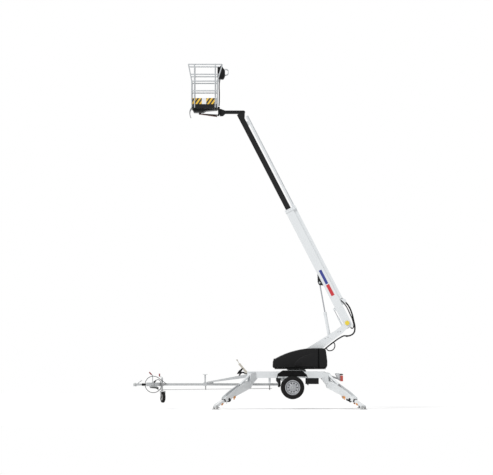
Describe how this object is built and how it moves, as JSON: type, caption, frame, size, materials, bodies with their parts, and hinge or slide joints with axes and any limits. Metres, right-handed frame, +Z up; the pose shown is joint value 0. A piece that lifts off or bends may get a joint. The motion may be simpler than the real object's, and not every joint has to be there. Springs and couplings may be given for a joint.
{
  "type": "towable boom lift",
  "caption": "Trailer-mounted telescopic boom lift on four outriggers, with a slewing turret, levelled work platform, axle, drawbar and tow coupling.",
  "frame": {"origin": "on the floor under the middle of the overall length, on the centre line", "axes": "+Z up, -X towards the tow coupling, -Y the machine's left side"},
  "size_m": [6.503, 3.909, 9.624],
  "materials": {
    "white_paint": "gloss",
    "galvanised": "hot-dip galvanised",
    "chrome_rod": "polished",
    "black_plastic": "grained",
    "black_paint": "satin",
    "rubber": "matt",
    "rim_silver": "satin",
    "lamp_red": "gloss",
    "grey_box": "satin"
  },
  "bodies": {
    "chassis": {"chassis_frame": "white_paint", "drawbar": "galvanised", "drawbar_braces": "galvanised", "overrun_coupling": "galvanised", "coupling_bellows": "rubber", "brake_rod": "galvanised", "axle": "galvanised", "mudguard_left": "black_plastic", "mudguard_right": "black_plastic", "lamp_bar": "galvanised", "tail_lamp_left": "lamp_red", "tail_lamp_right": "lamp_red", "lever_console": "grey_box", "chassis_hoses": "rubber", "under_tray": "black_plastic", "jockey_clamp": "galvanised", "light_cable": "rubber", "cable_plug": "black_plastic"},
    "wheel_left": {"tyre_left": "rubber", "rim_left": "rim_silver"},
    "wheel_right": {"tyre_right": "rubber", "rim_right": "rim_silver"},
    "jockey_column": {"jockey_column": "galvanised"},
    "jockey_fork": {"jockey_fork": "galvanised"},
    "jockey_wheel": {"jockey_wheel": "rubber"},
    "leg_front_left": {"leg_front_left": "white_paint"},
    "leg_barrel_front_left": {"leg_barrel_front_left": "white_paint"},
    "leg_rod_front_left": {"leg_rod_front_left": "chrome_rod"},
    "foot_front_left": {"foot_front_left": "galvanised"},
    "leg_front_right": {"leg_front_right": "white_paint"},
    "leg_barrel_front_right": {"leg_barrel_front_right": "white_paint"},
    "leg_rod_front_right": {"leg_rod_front_right": "chrome_rod"},
    "foot_front_right": {"foot_front_right": "galvanised"},
    "leg_rear_left": {"leg_rear_left": "white_paint"},
    "leg_barrel_rear_left": {"leg_barrel_rear_left": "white_paint"},
    "leg_rod_rear_left": {"leg_rod_rear_left": "chrome_rod"},
    "foot_rear_left": {"foot_rear_left": "galvanised"},
    "leg_rear_right": {"leg_rear_right": "white_paint"},
    "leg_barrel_rear_right": {"leg_barrel_rear_right": "white_paint"},
    "leg_rod_rear_right": {"leg_rod_rear_right": "chrome_rod"},
    "foot_rear_right": {"foot_rear_right": "galvanised"},
    "turret": {"turntable": "black_paint", "turret_column": "white_paint", "cover_left": "black_plastic", "cover_right": "black_plastic"},
    "boom": {"main_boom": "white_paint", "elbow_hoses": "rubber"},
    "lift_barrel": {"lift_barrel": "white_paint"},
    "lift_rod": {"lift_rod": "chrome_rod"},
    "level_barrel": {"level_barrel": "white_paint"},
    "level_rod": {"level_rod": "chrome_rod"},
    "telescope": {"inner_boom": "black_paint", "cable_rail": "white_paint"},
    "platform": {"platform_arm": "black_paint", "platform_floor": "black_paint", "platform_frame": "galvanised", "toe_boards": "white_paint", "control_box": "black_plastic"}
  },
  "joints": [
    {"name": "wheel_left_spin", "type": "hinge", "parent": "chassis", "child": "wheel_left", "pos_m": [1.198, -0.79, 0.596], "axis": [0, 1, 0], "continuous": true},
    {"name": "wheel_right_spin", "type": "hinge", "parent": "chassis", "child": "wheel_right", "pos_m": [1.198, 0.79, 0.596], "axis": [0, 1, 0], "continuous": true},
    {"name": "jockey_height", "type": "slide", "parent": "chassis", "child": "jockey_column", "axis": [0, 0, 1], "range_m": [-0.12, 0.02]},
    {"name": "jockey_swivel", "type": "hinge", "parent": "jockey_column", "child": "jockey_fork", "pos_m": [-2.445, -0.12, 0.5], "axis": [0, 0, 1], "continuous": true},
    {"name": "jockey_wheel_spin", "type": "hinge", "parent": "jockey_fork", "child": "jockey_wheel", "pos_m": [-2.42337, -0.18657, 0.325], "axis": [0.9511, 0.309, 0], "continuous": true},
    {"name": "leg_front_left_fold", "type": "hinge", "parent": "chassis", "child": "leg_front_left", "pos_m": [-0.01, -0.55, 0.72], "axis": [-0.8133, 0.5818, 0], "range_deg": [0, 110]},
    {"name": "foot_front_left_tilt", "type": "hinge", "parent": "leg_front_left", "child": "foot_front_left", "pos_m": [-0.94, -1.85, 0.085], "axis": [-0.8133, 0.5818, 0], "range_deg": [-20, 20]},
    {"name": "leg_barrel_front_left_swing", "type": "hinge", "parent": "chassis", "child": "leg_barrel_front_left", "pos_m": [0.01327, -0.51747, 0.96], "axis": [-0.8133, 0.5818, 0], "range_deg": [-1, 128]},
    {"name": "leg_rod_front_left_stroke", "type": "slide", "parent": "leg_barrel_front_left", "child": "leg_rod_front_left", "axis": [-0.503, -0.7032, -0.5025], "range_m": [-0.385, 0.005]},
    {"name": "leg_front_right_fold", "type": "hinge", "parent": "chassis", "child": "leg_front_right", "pos_m": [-0.01, 0.55, 0.72], "axis": [0.8133, 0.5818, 0], "range_deg": [0, 110]},
    {"name": "foot_front_right_tilt", "type": "hinge", "parent": "leg_front_right", "child": "foot_front_right", "pos_m": [-0.94, 1.85, 0.085], "axis": [0.8133, 0.5818, 0], "range_deg": [-20, 20]},
    {"name": "leg_barrel_front_right_swing", "type": "hinge", "parent": "chassis", "child": "leg_barrel_front_right", "pos_m": [0.01327, 0.51747, 0.96], "axis": [0.8133, 0.5818, 0], "range_deg": [-1, 128]},
    {"name": "leg_rod_front_right_stroke", "type": "slide", "parent": "leg_barrel_front_right", "child": "leg_rod_front_right", "axis": [-0.503, 0.7032, -0.5025], "range_m": [-0.385, 0.005]},
    {"name": "leg_rear_left_fold", "type": "hinge", "parent": "chassis", "child": "leg_rear_left", "pos_m": [2.217, -0.55, 0.72], "axis": [-0.8133, -0.5818, 0], "range_deg": [0, 110]},
    {"name": "foot_rear_left_tilt", "type": "hinge", "parent": "leg_rear_left", "child": "foot_rear_left", "pos_m": [3.147, -1.85, 0.085], "axis": [-0.8133, -0.5818, 0], "range_deg": [-20, 20]},
    {"name": "leg_barrel_rear_left_swing", "type": "hinge", "parent": "chassis", "child": "leg_barrel_rear_left", "pos_m": [2.19373, -0.51747, 0.96], "axis": [-0.8133, -0.5818, 0], "range_deg": [-1, 128]},
    {"name": "leg_rod_rear_left_stroke", "type": "slide", "parent": "leg_barrel_rear_left", "child": "leg_rod_rear_left", "axis": [0.503, -0.7032, -0.5025], "range_m": [-0.385, 0.005]},
    {"name": "leg_rear_right_fold", "type": "hinge", "parent": "chassis", "child": "leg_rear_right", "pos_m": [2.217, 0.55, 0.72], "axis": [0.8133, -0.5818, 0], "range_deg": [0, 110]},
    {"name": "foot_rear_right_tilt", "type": "hinge", "parent": "leg_rear_right", "child": "foot_rear_right", "pos_m": [3.147, 1.85, 0.085], "axis": [0.8133, -0.5818, 0], "range_deg": [-20, 20]},
    {"name": "leg_barrel_rear_right_swing", "type": "hinge", "parent": "chassis", "child": "leg_barrel_rear_right", "pos_m": [2.19373, 0.51747, 0.96], "axis": [0.8133, -0.5818, 0], "range_deg": [-1, 128]},
    {"name": "leg_rod_rear_right_stroke", "type": "slide", "parent": "leg_barrel_rear_right", "child": "leg_rod_rear_right", "axis": [0.503, 0.7032, -0.5025], "range_m": [-0.385, 0.005]},
    {"name": "slew", "type": "hinge", "parent": "chassis", "child": "turret", "pos_m": [1.3, 0, 1.085], "axis": [0, 0, 1], "continuous": true},
    {"name": "boom_lift", "type": "hinge", "parent": "turret", "child": "boom", "pos_m": [2.727, 0, 2.397], "axis": [0, 1, 0], "range_deg": [-75, 0]},
    {"name": "lift_barrel_swing", "type": "hinge", "parent": "turret", "child": "lift_barrel", "pos_m": [2.237, 0, 1.974], "axis": [0, 1, 0], "range_deg": [-83, 1]},
    {"name": "lift_rod_stroke", "type": "slide", "parent": "lift_barrel", "child": "lift_rod", "axis": [-0.1773, 0, 0.9842], "range_m": [-0.8, 0.01]},
    {"name": "level_barrel_swing", "type": "hinge", "parent": "turret", "child": "level_barrel", "pos_m": [2.614, 0.16, 2.284], "axis": [0, 1, 0], "range_deg": [-86, 1]},
    {"name": "level_rod_stroke", "type": "slide", "parent": "level_barrel", "child": "level_rod", "axis": [-0.455, 0, 0.8905], "range_m": [-0.185, 0.005]},
    {"name": "telescope", "type": "slide", "parent": "boom", "child": "telescope", "axis": [-0.4587, 0, 0.8886], "range_m": [-2.55, 0.1]},
    {"name": "platform_level", "type": "hinge", "parent": "telescope", "child": "platform", "pos_m": [-0.17218, 0, 8.29751], "axis": [0, 1, 0], "range_deg": [-1, 76]}
  ],
  "couplings": [
    {"joint": "leg_barrel_front_left_swing", "follows": "leg_front_left_fold", "ratio": 1.0836},
    {"joint": "leg_rod_front_left_stroke", "follows": "leg_front_left_fold", "m_per_rad": -0.1958},
    {"joint": "leg_barrel_front_right_swing", "follows": "leg_front_right_fold", "ratio": 1.0836},
    {"joint": "leg_rod_front_right_stroke", "follows": "leg_front_right_fold", "m_per_rad": -0.1958},
    {"joint": "leg_barrel_rear_left_swing", "follows": "leg_rear_left_fold", "ratio": 1.0836},
    {"joint": "leg_rod_rear_left_stroke", "follows": "leg_rear_left_fold", "m_per_rad": -0.1958},
    {"joint": "leg_barrel_rear_right_swing", "follows": "leg_rear_right_fold", "ratio": 1.0836},
    {"joint": "leg_rod_rear_right_stroke", "follows": "leg_rear_right_fold", "m_per_rad": -0.1958},
    {"joint": "lift_barrel_swing", "follows": "boom_lift", "ratio": 1.091},
    {"joint": "lift_rod_stroke", "follows": "boom_lift", "m_per_rad": 0.5934},
    {"joint": "level_barrel_swing", "follows": "boom_lift", "ratio": 1.135},
    {"joint": "level_rod_stroke", "follows": "boom_lift", "m_per_rad": 0.1357},
    {"joint": "platform_level", "follows": "boom_lift", "ratio": -1}
  ]
}
